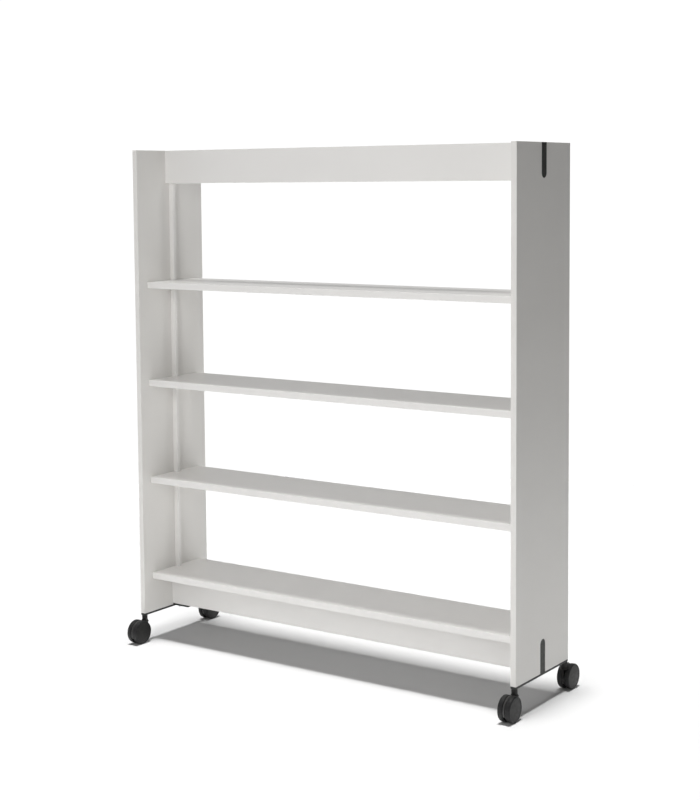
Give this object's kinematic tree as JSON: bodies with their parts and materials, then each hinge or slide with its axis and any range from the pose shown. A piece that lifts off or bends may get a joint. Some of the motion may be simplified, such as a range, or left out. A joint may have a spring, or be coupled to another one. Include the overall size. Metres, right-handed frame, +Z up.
{
  "type": "book cart",
  "caption": "Mobile open double-sided book shelf: tall white end panels, folded steel shelves, top and bottom beams, black twin-wheel swivel casters.",
  "frame": {"origin": "on the floor, in the middle of the cart", "axes": "+X along the shelves to the right, +Y from the front to the back, +Z up"},
  "size_m": [1.423, 0.433, 1.609],
  "materials": {
    "panel_white": "satin laminate on board",
    "powder_white": "satin powder coat on sheet steel",
    "black_steel": "fine matt powder coat",
    "caster_plastic": "moulded nylon",
    "tread_plastic": "smooth soft tread",
    "black_plastic": "moulded",
    "zinc_steel": "zinc plated"
  },
  "bodies": {
    "cart": {"left_end_panel": "panel_white", "right_end_panel": "panel_white", "top_beam": "powder_white", "bottom_beam": "powder_white", "left_top_connector": "black_steel", "right_top_connector": "black_steel", "bottom_beam_end_blocks": "black_plastic", "left_base_bracket": "black_steel", "right_base_bracket": "black_steel", "left_upright": "powder_white", "right_upright": "powder_white", "bottom_shelf": "powder_white", "lower_shelf": "powder_white", "middle_shelf": "powder_white", "upper_shelf": "powder_white", "bottom_shelf_brackets": "powder_white", "lower_shelf_brackets": "powder_white", "middle_shelf_brackets": "powder_white", "upper_shelf_brackets": "powder_white", "shelf_stiffeners": "powder_white", "shelf_bracket_screws": "zinc_steel", "upright_screws": "zinc_steel", "upright_screw_caps": "powder_white", "base_bar_screws": "zinc_steel", "top_beam_bolts": "powder_white", "base_arm_bolts": "zinc_steel", "caster_inserts": "zinc_steel", "front_left_caster_stem": "black_steel", "front_right_caster_stem": "black_steel", "rear_left_caster_stem": "black_steel", "rear_right_caster_stem": "black_steel"},
    "front_left_caster_swivel": {"front_left_caster_housing": "caster_plastic", "front_left_caster_bush": "black_plastic", "front_left_caster_axle": "zinc_steel"},
    "front_left_caster_inner_wheel": {"front_left_caster_inner_hub": "caster_plastic", "front_left_caster_inner_tyre": "tread_plastic"},
    "front_left_caster_outer_wheel": {"front_left_caster_outer_hub": "caster_plastic", "front_left_caster_outer_tyre": "tread_plastic"},
    "front_right_caster_swivel": {"front_right_caster_housing": "caster_plastic", "front_right_caster_bush": "black_plastic", "front_right_caster_axle": "zinc_steel"},
    "front_right_caster_inner_wheel": {"front_right_caster_inner_hub": "caster_plastic", "front_right_caster_inner_tyre": "tread_plastic"},
    "front_right_caster_outer_wheel": {"front_right_caster_outer_hub": "caster_plastic", "front_right_caster_outer_tyre": "tread_plastic"},
    "rear_left_caster_swivel": {"rear_left_caster_housing": "caster_plastic", "rear_left_caster_bush": "black_plastic", "rear_left_caster_axle": "zinc_steel"},
    "rear_left_caster_inner_wheel": {"rear_left_caster_inner_hub": "caster_plastic", "rear_left_caster_inner_tyre": "tread_plastic"},
    "rear_left_caster_outer_wheel": {"rear_left_caster_outer_hub": "caster_plastic", "rear_left_caster_outer_tyre": "tread_plastic"},
    "rear_right_caster_swivel": {"rear_right_caster_housing": "caster_plastic", "rear_right_caster_bush": "black_plastic", "rear_right_caster_axle": "zinc_steel"},
    "rear_right_caster_inner_wheel": {"rear_right_caster_inner_hub": "caster_plastic", "rear_right_caster_inner_tyre": "tread_plastic"},
    "rear_right_caster_outer_wheel": {"rear_right_caster_outer_hub": "caster_plastic", "rear_right_caster_outer_tyre": "tread_plastic"}
  },
  "joints": [
    {"name": "front_left_caster_swivel", "type": "hinge", "parent": "cart", "child": "front_left_caster_swivel", "pos_m": [-0.691, -0.151, 0.078], "axis": [0, 0, 1], "continuous": true},
    {"name": "front_left_caster_inner_wheel_spin", "type": "hinge", "parent": "front_left_caster_swivel", "child": "front_left_caster_inner_wheel", "pos_m": [-0.691, -0.179, 0.0375], "axis": [1, 0, 0], "continuous": true},
    {"name": "front_left_caster_outer_wheel_spin", "type": "hinge", "parent": "front_left_caster_swivel", "child": "front_left_caster_outer_wheel", "pos_m": [-0.691, -0.179, 0.0375], "axis": [1, 0, 0], "continuous": true},
    {"name": "front_right_caster_swivel", "type": "hinge", "parent": "cart", "child": "front_right_caster_swivel", "pos_m": [0.691, -0.151, 0.078], "axis": [0, 0, 1], "continuous": true},
    {"name": "front_right_caster_inner_wheel_spin", "type": "hinge", "parent": "front_right_caster_swivel", "child": "front_right_caster_inner_wheel", "pos_m": [0.691, -0.179, 0.0375], "axis": [1, 0, 0], "continuous": true},
    {"name": "front_right_caster_outer_wheel_spin", "type": "hinge", "parent": "front_right_caster_swivel", "child": "front_right_caster_outer_wheel", "pos_m": [0.691, -0.179, 0.0375], "axis": [1, 0, 0], "continuous": true},
    {"name": "rear_left_caster_swivel", "type": "hinge", "parent": "cart", "child": "rear_left_caster_swivel", "pos_m": [-0.691, 0.151, 0.078], "axis": [0, 0, 1], "continuous": true},
    {"name": "rear_left_caster_inner_wheel_spin", "type": "hinge", "parent": "rear_left_caster_swivel", "child": "rear_left_caster_inner_wheel", "pos_m": [-0.691, 0.179, 0.0375], "axis": [1, 0, 0], "continuous": true},
    {"name": "rear_left_caster_outer_wheel_spin", "type": "hinge", "parent": "rear_left_caster_swivel", "child": "rear_left_caster_outer_wheel", "pos_m": [-0.691, 0.179, 0.0375], "axis": [1, 0, 0], "continuous": true},
    {"name": "rear_right_caster_swivel", "type": "hinge", "parent": "cart", "child": "rear_right_caster_swivel", "pos_m": [0.691, 0.151, 0.078], "axis": [0, 0, 1], "continuous": true},
    {"name": "rear_right_caster_inner_wheel_spin", "type": "hinge", "parent": "rear_right_caster_swivel", "child": "rear_right_caster_inner_wheel", "pos_m": [0.691, 0.179, 0.0375], "axis": [1, 0, 0], "continuous": true},
    {"name": "rear_right_caster_outer_wheel_spin", "type": "hinge", "parent": "rear_right_caster_swivel", "child": "rear_right_caster_outer_wheel", "pos_m": [0.691, 0.179, 0.0375], "axis": [1, 0, 0], "continuous": true}
  ]
}
